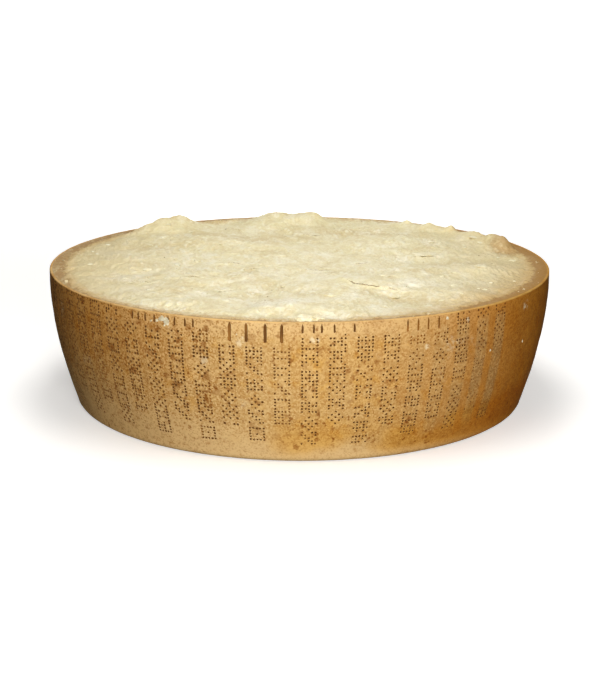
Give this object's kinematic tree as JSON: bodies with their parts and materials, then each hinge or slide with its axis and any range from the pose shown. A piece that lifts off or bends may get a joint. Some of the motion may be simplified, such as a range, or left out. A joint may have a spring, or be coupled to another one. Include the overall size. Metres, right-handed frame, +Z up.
{
  "type": "half wheel of hard cheese",
  "caption": "Half wheel of aged hard cheese, split across its height and lying on its flat face, with rind round its side and the craggy broken face up.",
  "frame": {"origin": "middle of the flat face that the half wheel rests on", "axes": "+Z up, out of the broken face; the picture looks along +Y and a little down, with +X to its right"},
  "size_m": [0.43, 0.43, 0.129],
  "materials": {
    "rind": "dry waxy cheese rind, amber with brown stains and rows of pressed dots",
    "paste": "cream-coloured crumbly cheese, broken and granular, tan towards the rind"
  },
  "bodies": {
    "root": {"half_wheel": "rind"}
  },
  "joints": []
}
